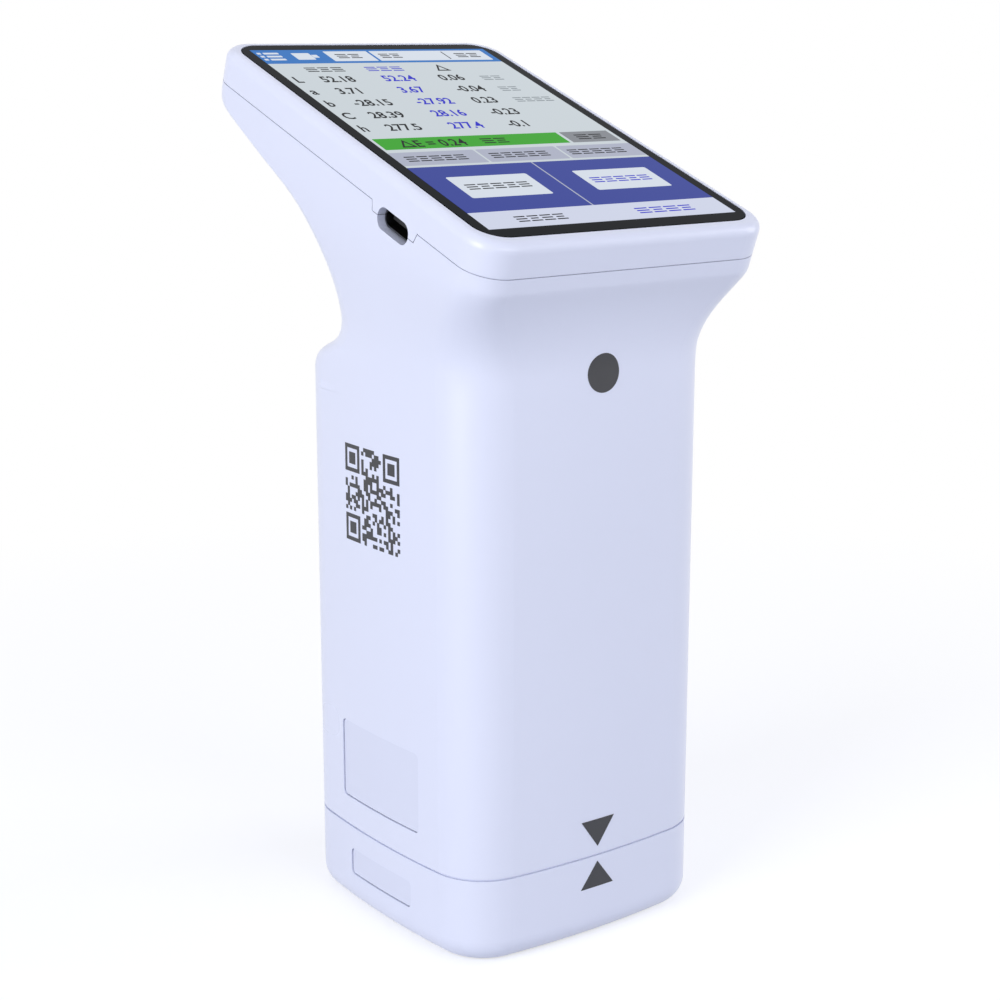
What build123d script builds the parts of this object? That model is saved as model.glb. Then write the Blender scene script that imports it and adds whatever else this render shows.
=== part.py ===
from build123d import *
import math
import os

os.makedirs("parts", exist_ok=True)

# Portable colorimeter standing on its calibration base.
# +Z is up, -Y is the front, +X is the user's right. The origin is the centre of the base's
# underside, on the optical axis. Sizes are in millimetres and degrees.

# Overall form
overall_height = 158.0
column_width = 56.8
column_depth = 56.6
column_corner = 10.6
side_crown = 1.9
face_crown = 2.1
wall = 2.0

# Calibration base
base_height = 16.4
base_round = 4.4
base_floor = 3.0
seam_width = 0.4
seam_depth = 0.4

# Head
head_width = 62.0
head_length = 89.5
head_tilt = 20.0
head_corner = 6.5
head_crown = 0.05
head_reach = 8.9
cover_depth = 6.1
cover_round = 1.8
cover_seam = 0.2
rim_depth = 1.5
tongue_gap = 0.15
tongue_depth = 2.0
tongue_thickness = 1.0
tongue_root = 1.5
tongue_length = 26.0
tongue_middle = 54.0

# Front flare, from the column out to the head
flare_angle = 40.0
flare_drop = 9.0
flare_radius = 22.5
front_edge_radius = 3.2
flare_start_turn = 3.0
flare_end_turn = 18.5

# Scoop and ledge at the back
neck_inset = 10.2
neck_straight = 1.87
scoop_height = 55.1
ledge_slope = 25.0
ledge_radius = 4.2
ledge_hollow_radius = 7.0
underside_slope = 33.0
underside_drop = 10.1
rear_edge_radius = 3.0

# Display
glass_side_margin = 2.3
glass_front_margin = 2.85
glass_rear_margin = 2.25
glass_corner = 5.0
glass_thickness = 1.1
glass_bevel = 0.2
glass_gap = 0.1
tape_thickness = 0.3
tape_setback = 0.4
cover_ledge_thickness = 1.2
border_side = 1.5
border_end = 1.7
panel_thickness = 2.2
panel_corner = 3.0
panel_gap = 0.2

# USB-C inlet and the tab of the cover above it
port_place = 25.0
port_depth = 7.7
port_width = 9.4
port_height = 3.9
tab_width_top = 13.9
tab_width_bottom = 12.6
tab_gap = 0.12
receptacle_width = 8.94
receptacle_height = 3.26
receptacle_length = 7.3
receptacle_setback = 1.4
receptacle_metal = 0.3
insert_back = 1.3
insert_tongue_width = 6.7
insert_tongue_thickness = 0.7
insert_tongue_setback = 1.0

# Main board
board_side_gap = 4.5
board_front = 10.0
board_rear_gap = 11.5
board_thickness = 1.6
board_corner = 2.0
board_screw_inset = 4.0
bracket_width = 6.0
bracket_margin = 0.8
bracket_lip = 3.0
bracket_root = 9.0
radio_width = 13.0
radio_length = 17.0
radio_height = 2.4
radio_setback = 13.0

# Label recesses on the left side
label_depth = 0.45
label_thickness = 0.2
label_gap = 0.15
label_corner = 1.0
label_middle = -0.3
body_label_length = 24.4
body_label_height = 14.9
body_label_bottom = 21.7
base_label_length = 19.5
base_label_height = 5.1
base_label_bottom = 6.7

# Measuring end
aperture_diameter = 8.0
aperture_lip = 1.0
nose_diameter = 20.0
nose_neck_diameter = 16.0
nose_gap = 0.05
nose_drop = 2.3
nose_height = 7.0
nose_mouth_diameter = 13.0
plate_thickness = 2.0
plate_gap = 0.1
post_place = 20.4
post_radius = 3.8
plate_post_height = 12.0

# Integrating sphere
sphere_bore = 38.0
sphere_wall = 2.5
sphere_foot_diameter = 24.0
sphere_foot_height = 5.0
flange_radius = 25.2
flange_thickness = 3.0
flange_screw_radius = 23.0
flange_screw_length = 5.4
lamp_lift = 9.0
lamp_diameter = 5.0
lamp_gap = 0.05
lamp_boss_diameter = 9.0
lamp_plane = 21.5
lamp_reach = 5.5
lamp_board_width = 14.0
lamp_board_height = 12.0
lamp_board_thickness = 1.2

# Sensor at eight degrees from the optical axis
view_angle = 8.0
view_port_diameter = 6.0
barrel_seat = 48.0
barrel_seat_depth = 6.0
barrel_diameter = 14.0
barrel_bore = 9.0
barrel_length = 14.0
barrel_flange_diameter = 18.0
barrel_flange_thickness = 2.0
lens_lift = 2.0
lens_edge = 1.2
lens_radius = 12.0
sensor_board_size = 17.0
sensor_board_thickness = 1.2
sensor_chip_size = 5.6
sensor_chip_height = 1.2

# Battery and its tray
battery_width = 38.0
battery_height = 40.0
battery_thickness = 10.0
battery_corner = 2.0
battery_gap = 0.2
tray_wall = 1.4
tray_rim = 7.0
tray_ear = 7.0
battery_lift = 0.6
tray_standoff = 4.0
tray_boss_radius = 3.0
tray_boss_spread = 24.0

# Measure key in the scoop
key_lift = 11.1
key_diameter = 11.0
key_gap = 0.3
key_proud = 0.9
key_round = 0.6
key_flange_diameter = 14.0
key_flange_thickness = 1.0
key_boss_diameter = 4.0
key_boss_height = 0.6
key_travel = 0.6
switch_size = 6.2
switch_depth = 3.4
plunger_diameter = 3.2
plunger_proud = 0.9
plunger_inside = 0.9
plunger_gap = 0.3
key_board_width = 25.0
key_board_height = 12.0
key_board_thickness = 1.2
key_post_spread = 19.6
key_post_radius = 2.2

# Magnets
magnet_diameter = 8.0
magnet_thickness = 3.0
magnet_place = 20.4
magnet_gap = 0.05
magnet_skin = 0.6
magnet_boss_wall = 1.2

# White tile in the base
tile_diameter = 24.0
tile_thickness = 5.6
tile_gap = 0.1
tile_side_gap = 0.15
tile_bevel = 0.4
cushion_thickness = 1.5
holder_wall = 2.2
deck_thickness = 2.0
deck_drop = 0.3
deck_hole_diameter = 26.0
deck_hole_bevel = 0.5

# Screws
plate_screw_shank = 2.0
plate_screw_head = 3.8
plate_screw_head_height = 1.2
plate_screw_length = 8.0
board_screw_shank = 1.6
board_screw_head = 3.0
board_screw_head_height = 0.9
board_screw_length = 5.0
screw_cross_width = 0.5
screw_cross_depth = 0.5

# Derived places
column_front = -column_depth / 2
column_back = column_depth / 2
neck_back = column_back - neck_inset
tilt_cos = math.cos(math.radians(head_tilt))
tilt_sin = math.sin(math.radians(head_tilt))
head_front = column_front - head_reach
head_front_height = overall_height - head_length * tilt_sin
head_side = head_width / 2
ledge_height = overall_height - scoop_height
key_height = ledge_height + key_lift

# The display's own coordinates: x across, y up the slope from the front edge, z out of the glass
head_plane = Plane(
    origin=(0, head_front, head_front_height),
    x_dir=(1, 0, 0),
    z_dir=(0, -tilt_sin, tilt_cos),
)

# Heights in the measuring end and the base
plate_bottom = base_height
plate_top = plate_bottom + plate_thickness
nose_bottom = base_height - nose_drop
sphere_radius = sphere_bore / 2
sphere_outer = sphere_radius + sphere_wall
sphere_centre = plate_top + sphere_outer
deck_top = base_height - deck_drop
deck_bottom = deck_top - deck_thickness
tile_top = nose_bottom - tile_gap
tile_bottom = tile_top - tile_thickness
cushion_bottom = tile_bottom - cushion_thickness

# Levels in the head, as depths below the surface of the display
tape_bottom = glass_thickness + tape_thickness
cover_ledge_bottom = tape_bottom + cover_ledge_thickness
panel_bottom = glass_thickness + panel_thickness
board_bottom = port_depth - receptacle_height / 2
board_top = board_bottom - board_thickness
glass_width = head_width - 2 * glass_side_margin
glass_length = head_length - glass_front_margin - glass_rear_margin
glass_middle = glass_front_margin + glass_length / 2
panel_width = glass_width - 2 * border_side
panel_length = glass_length - 2 * border_end
board_width = head_width - 2 * board_side_gap
board_length = head_length - board_front - board_rear_gap
board_middle = board_front + board_length / 2
radio_place = board_front + board_length - radio_setback

# Battery and key, as distances along Y
tray_front = column_front + wall + tray_standoff
battery_front = tray_front + tray_wall
tray_middle = sphere_centre + sphere_outer + battery_lift + battery_height / 2
tray_width = battery_width + 2 * (battery_gap + tray_wall)
tray_height = battery_height + 2 * (battery_gap + tray_wall)
key_outer = neck_back + key_proud
key_flange_outer = neck_back - wall - key_gap
key_flange_inner = key_flange_outer - key_flange_thickness
key_boss_inner = key_flange_inner - key_boss_height
switch_front = key_boss_inner - plunger_proud
switch_back = switch_front - switch_depth
key_board_inner = switch_back - key_board_thickness


def slope(angle):
    return math.tan(math.radians(angle))


def on_head(along, depth):
    """Side-view point at a distance up the slope of the display and a depth below it."""
    return (
        head_front + along * tilt_cos + depth * tilt_sin,
        head_front_height + along * tilt_sin - depth * tilt_cos,
    )


def four_corners(spread_x, spread_y):
    return [(x, y) for x in (-spread_x, spread_x) for y in (-spread_y, spread_y)]


def rod(radius, bottom, top):
    """Upright cylinder between two heights."""
    cylinder = Cylinder(radius, top - bottom, align=(Align.CENTER, Align.CENTER, Align.MIN))
    return Pos(0, 0, bottom) * cylinder


def rod_along_y(radius, x, z, near, far):
    """Cylinder along Y between two distances from the middle of the column."""
    return Pos(x, 0, z) * Rot(-90, 0, 0) * rod(radius, near, far)


def block(size_x, size_y, bottom, top):
    """Upright box centred on the axis, between two heights."""
    box = Box(size_x, size_y, top - bottom, align=(Align.CENTER, Align.CENTER, Align.MIN))
    return Pos(0, 0, bottom) * box


# Outlines of the moulded skin
def crowned_outline(front, back, half_width, corner, side_bulge, face_bulge):
    """Rectangle with rounded corners whose four sides bow outwards."""
    middle = (front + back) / 2
    x = half_width - side_bulge
    y_front = front + face_bulge
    y_back = back - face_bulge
    sides = [
        ThreePointArc((-x, y_front), (0, front), (x, y_front)),
        ThreePointArc((x, y_front), (half_width, middle), (x, y_back)),
        ThreePointArc((x, y_back), (0, back), (-x, y_back)),
        ThreePointArc((-x, y_back), (-half_width, middle), (-x, y_front)),
    ]
    face = make_face(sides)
    return fillet(face.vertices(), corner)


def column_outline(inset):
    """Cross-section of the column, moved inwards by an inset."""
    return crowned_outline(
        column_front + inset,
        column_back - inset,
        column_width / 2 - inset,
        column_corner - inset,
        side_crown,
        face_crown,
    )


def head_outline(inset):
    """Outline of the head in the plane of the display, moved inwards by an inset."""
    return crowned_outline(
        inset,
        head_length - inset,
        head_side - inset,
        head_corner - inset,
        head_crown,
        head_crown,
    )


def column_block(inset, bottom, top):
    return extrude(Pos(0, 0, bottom) * column_outline(inset), top - bottom)


def head_block(inset, top, bottom):
    """Slab with the head's outline between two depths, in the display's coordinates."""
    return extrude(Pos(0, 0, -bottom) * head_outline(inset), bottom - top)


def side_profile():
    """Side view of the whole instrument, from the floor to the display."""
    front_corner = on_head(0, flare_drop)
    flare_foot = front_corner[1] - (column_front - front_corner[0]) / slope(flare_angle)
    rear_corner = on_head(head_length, underside_drop)
    neck_top = rear_corner[1] - (rear_corner[0] - neck_back) * slope(underside_slope)
    neck_foot = ledge_height + neck_inset * slope(ledge_slope)
    hollow_tangent = ledge_hollow_radius * slope((90 - ledge_slope) / 2)
    neck_tangent = neck_top - neck_foot - hollow_tangent - neck_straight
    neck_radius = neck_tangent / slope((90 - underside_slope) / 2)
    front_line = FilletPolyline(
        (column_front, 0),
        (column_front, flare_foot),
        front_corner,
        on_head(0, 0),
        radius=[flare_radius, front_edge_radius],
    )
    back_line = FilletPolyline(
        (column_back, 0),
        (column_back, ledge_height),
        (neck_back, neck_foot),
        (neck_back, neck_top),
        rear_corner,
        on_head(head_length, 0),
        radius=[ledge_radius, ledge_hollow_radius, neck_radius, rear_edge_radius],
    )
    floor_line = Line((column_front, 0), (column_back, 0))
    display_line = Line(on_head(0, 0), on_head(head_length, 0))
    outline = [*front_line.edges(), *back_line.edges(), floor_line, display_line]
    return Plane.YZ * make_face(outline)


# The skin is lofted through planes that turn about one line in front of the body, from level at
# the ledge to parallel with the display, so that no two of them cross inside it. They lie closer
# together at both ends, where the skin turns most sharply.
ledge_tangent = ledge_radius * slope((90 - ledge_slope) / 2)
straight_top = ledge_height - ledge_tangent
straight_spacing = 1.0
rim_front = on_head(0, cover_depth + rim_depth)
fan_height = straight_top + straight_spacing
fan_pivot = Vector(0, rim_front[0] - (rim_front[1] - fan_height) / slope(head_tilt), fan_height)
fan_steps = 24


def fan_plane(turn):
    angle = math.radians(turn)
    return Plane(origin=fan_pivot, x_dir=(1, 0, 0), z_dir=(0, -math.sin(angle), math.cos(angle)))


def chord(profile, turn):
    """Distances from the pivot line at which a fan plane enters and leaves the side view."""
    angle = math.radians(turn)
    reach = Vector(0, math.cos(angle), math.sin(angle)) * (column_depth + head_length * 2)
    spans = Edge.make_line(fan_pivot, fan_pivot + reach).intersect(profile)
    ends = [(Vector(v) - fan_pivot).length for span in spans for v in span.vertices()]
    return min(ends), max(ends)


def flare(turn, at_column, at_head):
    """Smooth change from the column's value to the head's as the planes turn."""
    t = (turn - flare_start_turn) / (flare_end_turn - flare_start_turn)
    t = min(max(t, 0.0), 1.0)
    return at_column + (at_head - at_column) * t * t * (3 - 2 * t)


def skin_solid(inset, bottom, top_depth):
    """Solid inside the skin moved inwards, from a height up to a depth below the display."""
    profile = side_profile()
    if inset > 0:
        profile = offset(profile, amount=-inset)
    straight_start = straight_top - 3 * straight_spacing
    sections = []
    for step in range(4):
        height = straight_start + step * straight_spacing
        sections.append(Pos(0, 0, height) * column_outline(inset))
    for step in range(fan_steps + 1):
        turn = head_tilt * (1 - math.cos(math.pi * step / fan_steps)) / 2
        front, back = chord(profile, turn)
        outline = crowned_outline(
            front,
            back,
            flare(turn, column_width, head_width) / 2 - inset,
            flare(turn, column_corner, head_corner) - inset,
            flare(turn, side_crown, head_crown),
            flare(turn, face_crown, head_crown),
        )
        sections.append(fan_plane(turn) * outline)
    column = column_block(inset, bottom, straight_start)
    throat = loft(sections)
    rim = head_plane * head_block(inset, top_depth, cover_depth + rim_depth)
    return column + throat + rim


# Screws
def cross_recess(head, top):
    bar = Box(head * 0.6, screw_cross_width, screw_cross_depth * 2)
    return Pos(0, 0, top) * (bar + Rot(0, 0, 90) * bar)


def countersink():
    return Pos(0, 0, -plate_screw_head_height / 2) * Cone(
        plate_screw_shank / 2, plate_screw_head / 2, plate_screw_head_height
    )


def plate_screw():
    """Countersunk screw with its head level with the origin and its shank pointing down."""
    shank = rod(plate_screw_shank / 2, -plate_screw_length, -plate_screw_head_height / 2)
    return countersink() + shank - cross_recess(plate_screw_head, 0)


def plate_screw_hole():
    return countersink() + rod(plate_screw_shank / 2, -plate_screw_length, 0)


def pan_screw(length):
    """Pan-head screw with its head standing on the origin and its shank pointing down."""
    head = rod(board_screw_head / 2, 0, board_screw_head_height)
    head = fillet(head.edges().sort_by(Axis.Z)[-1], board_screw_head_height * 0.4)
    shank = rod(board_screw_shank / 2, -length, 0)
    return head + shank - cross_recess(board_screw_head, board_screw_head_height)


# Calibration base
def label_prism(length, height, bottom, corner, shrink):
    """Rounded block that runs in through the left side at a label."""
    outline = RectangleRounded(length - 2 * shrink, height - 2 * shrink, corner)
    plane = Plane(
        origin=(-column_width, label_middle, bottom + height / 2),
        x_dir=(0, -1, 0),
        z_dir=(1, 0, 0),
    )
    return extrude(plane * outline, column_width)


def skin_layer(start, end, bottom, height):
    """Layer of the column's skin between two insets, a little taller than a label."""
    low = bottom - 1
    high = bottom + height + 1
    return column_block(start, low, high) - column_block(end, low - 1, high + 1)


def label_recess(length, height, bottom):
    layer = skin_layer(-1, label_depth, bottom, height)
    return label_prism(length, height, bottom, label_corner, 0) & layer


def label_plate(length, height, bottom):
    """Blank label on the floor of its recess, with a gap all round."""
    layer = skin_layer(label_depth - label_thickness, label_depth, bottom, height)
    return label_prism(length, height, bottom, label_corner - label_gap, label_gap) & layer


body_label = (body_label_length, body_label_height, body_label_bottom)
base_label = (base_label_length, base_label_height, base_label_bottom)


def make_base_shell():
    """Cup with a rounded underside, a groove at the seam and four screw posts."""
    shell = column_block(0, 0, base_height)
    shell = fillet(shell.faces().sort_by(Axis.Z)[0].edges(), base_round)
    shell -= column_block(wall, base_floor, base_height + 1)
    groove = column_block(-1, base_height - seam_width, base_height + 1)
    shell -= groove - column_block(seam_depth, 0, base_height + 2)
    for x, y in four_corners(post_place, post_place):
        shell += Pos(x, y) * rod(post_radius, base_floor, deck_bottom)
        shell -= Pos(x, y) * rod(plate_screw_shank / 2, deck_top - plate_screw_length, deck_bottom)
    return shell - label_recess(*base_label)


def magnet_places():
    return [(-magnet_place, 0), (magnet_place, 0)]


def magnets(bottom):
    disc = rod(magnet_diameter / 2, bottom, bottom + magnet_thickness)
    return [Pos(x, y) * disc for x, y in magnet_places()]


base_magnet_bottom = deck_top - magnet_skin - magnet_thickness
plate_magnet_bottom = plate_bottom + magnet_skin
magnet_boss_radius = magnet_diameter / 2 + magnet_gap + magnet_boss_wall
magnet_pocket_radius = magnet_diameter / 2 + magnet_gap


def make_base_deck():
    """Plate that closes the cup round the white tile and holds the magnets."""
    deck = column_block(wall + plate_gap, deck_bottom, deck_top)
    hole = rod(deck_hole_diameter / 2, deck_bottom - 1, deck_top + 1)
    bevel = Pos(0, 0, deck_top - deck_hole_bevel / 2) * Cone(
        deck_hole_diameter / 2, deck_hole_diameter / 2 + deck_hole_bevel, deck_hole_bevel
    )
    for x, y in magnet_places():
        deck += Pos(x, y) * rod(magnet_boss_radius, base_magnet_bottom, deck_bottom)
        top = base_magnet_bottom + magnet_thickness
        deck -= Pos(x, y) * rod(magnet_pocket_radius, base_magnet_bottom - 1, top)
    for x, y in four_corners(post_place, post_place):
        deck -= Pos(x, y, deck_top) * plate_screw_hole()
    return deck - hole - bevel


def make_tile_holder():
    holder = rod(tile_diameter / 2 + tile_side_gap + holder_wall, base_floor, deck_bottom)
    return holder - rod(tile_diameter / 2 + tile_side_gap, cushion_bottom, deck_bottom + 1)


def make_white_tile():
    tile = rod(tile_diameter / 2, tile_bottom, tile_top)
    return chamfer(tile.edges().sort_by(Axis.Z)[-1], tile_bevel)


# Measuring end of the instrument
def make_end_plate():
    """Plate that closes the column's lower end, with magnet pockets on its upper side."""
    plate = column_block(wall + plate_gap, plate_bottom, plate_top)
    for x, y in magnet_places():
        top = plate_magnet_bottom + magnet_thickness
        plate += Pos(x, y) * rod(magnet_boss_radius, plate_bottom, top)
        plate -= Pos(x, y) * rod(magnet_pocket_radius, plate_magnet_bottom, top + 1)
    for x, y in four_corners(post_place, post_place):
        plate -= Pos(x, y, plate_bottom) * Rot(180, 0, 0) * plate_screw_hole()
    return plate - rod(nose_neck_diameter / 2 + nose_gap, plate_bottom - 1, plate_top + 1)


def make_nose():
    """Turned measuring nose: a flange below the plate and a neck that screws into the sphere."""
    outline = Polyline(
        (aperture_diameter / 2, nose_bottom),
        (nose_diameter / 2, nose_bottom),
        (nose_diameter / 2, plate_bottom),
        (nose_neck_diameter / 2, plate_bottom),
        (nose_neck_diameter / 2, nose_bottom + nose_height),
        (nose_mouth_diameter / 2, nose_bottom + nose_height),
        (aperture_diameter / 2, nose_bottom + aperture_lip),
        close=True,
    )
    return revolve(Plane.XZ * make_face(outline), Axis.Z)


def sphere_shell():
    """Both halves of the sphere before they are parted at its middle."""
    ball = Pos(0, 0, sphere_centre) * Sphere(sphere_outer)
    foot = rod(sphere_foot_diameter / 2, plate_top, plate_top + sphere_foot_height)
    low = sphere_centre - flange_thickness
    high = sphere_centre + flange_thickness
    boss_reach = lamp_plane - sphere_radius / 2
    bosses = [
        Pos(side * (lamp_plane - boss_reach / 2), 0, sphere_centre + lamp_lift)
        * Rot(0, 90, 0)
        * Cylinder(lamp_boss_diameter / 2, boss_reach)
        for side in (-1, 1)
    ]
    seat = along_view(rod(barrel_flange_diameter / 2, barrel_seat - barrel_seat_depth, barrel_seat))
    shell = ball + foot + rod(flange_radius, low, high) + bosses + seat
    shell -= Pos(0, 0, sphere_centre) * Sphere(sphere_radius)
    shell -= rod(nose_neck_diameter / 2 + nose_gap, plate_top - 1, sphere_centre)
    shell -= along_view(rod(view_port_diameter / 2, sphere_centre - nose_bottom, barrel_seat + 1))
    for side in (-1, 1):
        port = Cylinder(lamp_diameter / 2 + lamp_gap, lamp_plane)
        middle = Pos(side * lamp_plane / 2, 0, sphere_centre + lamp_lift)
        shell -= middle * Rot(0, 90, 0) * port
    for x, y in flange_screw_places():
        shell -= Pos(x, y, high) * rod(board_screw_shank / 2, -flange_screw_length, 1)
    return shell


def along_view(shape):
    """Lean a shape built upwards from the sample point to the sensor's viewing angle."""
    return Pos(0, 0, nose_bottom) * Rot(-view_angle, 0, 0) * shape


def flange_screw_places():
    reach = flange_screw_radius * math.cos(math.radians(45))
    return four_corners(reach, reach)


def make_sphere_halves():
    shell = sphere_shell()
    size = 4 * sphere_outer
    lower = shell & block(size, size, 0, sphere_centre)
    upper = shell & block(size, size, sphere_centre, sphere_centre + size)
    return lower, upper


def make_lamps():
    """Domed lamps that reach through the sphere's side ports, one on each side."""
    body = rod(lamp_diameter / 2, 0, lamp_reach)
    lamp = fillet(body.edges().sort_by(Axis.Z)[-1], lamp_diameter * 0.45)
    left = Pos(-lamp_plane, 0, sphere_centre + lamp_lift) * Rot(0, 90, 0) * lamp
    right = Pos(lamp_plane, 0, sphere_centre + lamp_lift) * Rot(0, -90, 0) * lamp
    return [left, right]


def make_lamp_boards():
    bottom = sphere_centre + lamp_lift - lamp_board_height / 2
    board = block(lamp_board_thickness, lamp_board_width, bottom, bottom + lamp_board_height)
    reach = lamp_plane + lamp_board_thickness / 2
    return [Pos(-reach, 0) * board, Pos(reach, 0) * board]


def make_barrel():
    """Sensor barrel with a shoulder for the lens and a flange for the sensor board."""
    top = barrel_seat + barrel_length
    body = rod(barrel_diameter / 2, barrel_seat, top)
    body += rod(barrel_flange_diameter / 2, top - barrel_flange_thickness, top)
    body -= rod(view_port_diameter / 2, barrel_seat - 1, top)
    body -= rod(barrel_bore / 2, barrel_seat + lens_lift, top + 1)
    return along_view(body)


def make_lens():
    """Plano-convex lens that sits on the shoulder of the barrel."""
    radius = barrel_bore / 2
    rise = lens_radius - math.sqrt(lens_radius**2 - radius**2)
    flat = barrel_seat + lens_lift
    edge = flat + lens_edge
    outline = make_face(
        [
            Line((0, flat), (radius, flat)),
            Line((radius, flat), (radius, edge)),
            RadiusArc((radius, edge), (0, edge + rise), -lens_radius),
            Line((0, edge + rise), (0, flat)),
        ]
    )
    return along_view(revolve(Plane.XZ * outline, Axis.Z))


def make_sensor_board():
    seat = barrel_seat + barrel_length
    board = block(sensor_board_size, sensor_board_size, seat, seat + sensor_board_thickness)
    return along_view(board)


def make_sensor_chip():
    seat = barrel_seat + barrel_length
    return along_view(block(sensor_chip_size, sensor_chip_size, seat - sensor_chip_height, seat))


# Battery
def tray_screw_places():
    lift = (tray_height + tray_ear) / 2
    return [(x, tray_middle + z) for x, z in four_corners(tray_boss_spread / 2, lift)]


def make_battery_tray():
    """Shallow tray with a screw ear above and below, open towards the back."""
    plate = Pos(0, tray_front + tray_wall / 2, tray_middle) * Box(
        tray_boss_spread + 2 * tray_boss_radius, tray_wall, tray_height + 2 * tray_ear
    )
    rim = Pos(0, tray_front + tray_rim / 2, tray_middle) * Box(tray_width, tray_rim, tray_height)
    pocket = Pos(0, battery_front + tray_rim, tray_middle) * Box(
        tray_width - 2 * tray_wall, 2 * tray_rim, tray_height - 2 * tray_wall
    )
    tray = plate + rim - pocket
    for x, z in tray_screw_places():
        tray -= rod_along_y(board_screw_shank / 2, x, z, tray_front - 1, battery_front + 1)
    return tray


def make_battery():
    middle = Pos(0, battery_front + battery_thickness / 2, tray_middle)
    cell = middle * Box(battery_width, battery_thickness, battery_height)
    return fillet(cell.edges().filter_by(Axis.Z), battery_corner)


def make_tray_screws():
    screw = Rot(90, 0, 0) * Rot(180, 0, 0) * pan_screw(board_screw_length)
    return [Pos(x, battery_front, z) * screw for x, z in tray_screw_places()]


# Measure key
def make_key():
    """Round key with a retaining flange and a stem that bears on the switch."""
    cap = rod(key_diameter / 2, key_flange_inner, key_outer)
    cap = fillet(cap.edges().sort_by(Axis.Z)[-1], key_round)
    cap += rod(key_flange_diameter / 2, key_flange_inner, key_flange_outer)
    cap += rod(key_boss_diameter / 2, key_boss_inner, key_flange_inner)
    return Pos(0, 0, key_height) * Rot(-90, 0, 0) * cap


def make_plunger():
    inner = switch_front - plunger_inside
    return rod_along_y(plunger_diameter / 2, 0, key_height, inner, key_boss_inner)


def make_switch():
    middle = Pos(0, (switch_front + switch_back) / 2, key_height)
    case = middle * Box(switch_size, switch_depth, switch_size)
    well = switch_front - plunger_inside - key_travel - plunger_gap
    bore = plunger_diameter / 2 + plunger_gap
    return case - rod_along_y(bore, 0, key_height, well, switch_front + 1)


def key_post_places():
    return (-key_post_spread / 2, key_post_spread / 2)


def make_key_board():
    middle = Pos(0, key_board_inner + key_board_thickness / 2, key_height)
    board = middle * Box(key_board_width, key_board_thickness, key_board_height)
    for x in key_post_places():
        board -= rod_along_y(board_screw_shank / 2, x, key_height, 0, switch_back + 1)
    return board


def make_key_screws():
    screw = Rot(90, 0, 0) * pan_screw(board_screw_length)
    return [Pos(x, key_board_inner, key_height) * screw for x in key_post_places()]


# Head: slabs parallel to the display between two depths
def slab(width, length, middle, corner, top, bottom):
    outline = Pos(0, middle, -bottom) * RectangleRounded(width, length, corner)
    return extrude(outline, bottom - top)


def board_screw_places():
    x = board_width / 2 - board_screw_inset
    y = board_length / 2 - board_screw_inset
    return [(px, board_middle + py) for px, py in four_corners(x, y)]


def port_slot(width, height, outer, inner):
    """Rounded slot along X on the axis of the inlet, between two distances from the middle."""
    y, z = on_head(port_place, port_depth)
    plane = Plane(origin=(-outer, y, z), x_dir=(0, -tilt_cos, -tilt_sin), z_dir=(1, 0, 0))
    return extrude(plane * SlotOverall(width, height), outer - inner)


def tab_block(grow, outer, inner):
    """Tapered tab of the cover that reaches down around the inlet, grown by a gap."""
    low = port_depth - cover_depth + grow
    half_top = tab_width_top / 2 + grow
    half_bottom = tab_width_bottom / 2 + grow
    outline = make_face(
        Polyline(
            (-half_top, cover_seam),
            (-half_bottom, -low),
            (half_bottom, -low),
            (half_top, cover_seam),
            close=True,
        )
    )
    y, z = on_head(port_place, cover_depth)
    plane = Plane(origin=(-outer, y, z), x_dir=(0, tilt_cos, tilt_sin), z_dir=(1, 0, 0))
    return extrude(plane * outline, outer - inner)


def make_head_cover():
    """White frame round the glass, with its tab at the inlet and locating tongues inside."""
    frame = head_block(0, 0, cover_depth)
    frame = fillet(frame.faces().sort_by(Axis.Z)[-1].edges(), cover_round)
    frame -= head_block(0, cover_depth - cover_seam, cover_depth) - head_block(
        cover_seam, cover_depth - cover_seam, cover_depth
    )
    frame -= slab(
        glass_width + 2 * glass_gap,
        glass_length + 2 * glass_gap,
        glass_middle,
        glass_corner + glass_gap,
        -1,
        tape_bottom,
    )
    frame -= slab(
        panel_width + 2 * panel_gap,
        panel_length + 2 * panel_gap,
        glass_middle,
        panel_corner,
        0,
        cover_depth,
    )
    frame -= head_block(wall, cover_ledge_bottom, cover_depth + 1)
    outer_inset = wall + tongue_gap
    low = cover_depth + tongue_depth
    ring = head_block(outer_inset, cover_depth - tongue_root, low)
    ring -= head_block(outer_inset + tongue_thickness, cover_depth - tongue_root - 1, low + 1)
    step = head_block(wall - 0.01, cover_depth - tongue_root, cover_depth)
    step -= head_block(outer_inset, cover_depth - tongue_root - 1, cover_depth + 1)
    spans = [
        Pos(0, head_length / 2, -low) * Box(tongue_length, 2 * head_length, 4 * low),
        Pos(0, tongue_middle, -low) * Box(2 * head_width, tongue_length, 4 * low),
    ]
    for span in spans:
        frame += ring & span
        frame += step & span
    cover = head_plane * frame
    prism = head_plane * head_block(0, 0, port_depth + 1)
    cover += tab_block(0, head_side, head_side - wall) & prism
    return cover - port_slot(port_width, port_height, head_side + 1, head_side - wall - 1)


def make_glass():
    glass = slab(glass_width, glass_length, glass_middle, glass_corner, 0, glass_thickness)
    return chamfer(glass.faces().sort_by(Axis.Z)[-1].edges(), glass_bevel)


def make_tape():
    outer = slab(
        glass_width - 2 * tape_setback,
        glass_length - 2 * tape_setback,
        glass_middle,
        glass_corner - tape_setback,
        glass_thickness,
        tape_bottom,
    )
    inner = slab(
        panel_width + 2 * panel_gap,
        panel_length + 2 * panel_gap,
        glass_middle,
        panel_corner,
        0,
        tape_bottom + 1,
    )
    return outer - inner


def make_panel():
    return slab(
        panel_width, panel_length, glass_middle, panel_corner, glass_thickness, panel_bottom
    )


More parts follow.
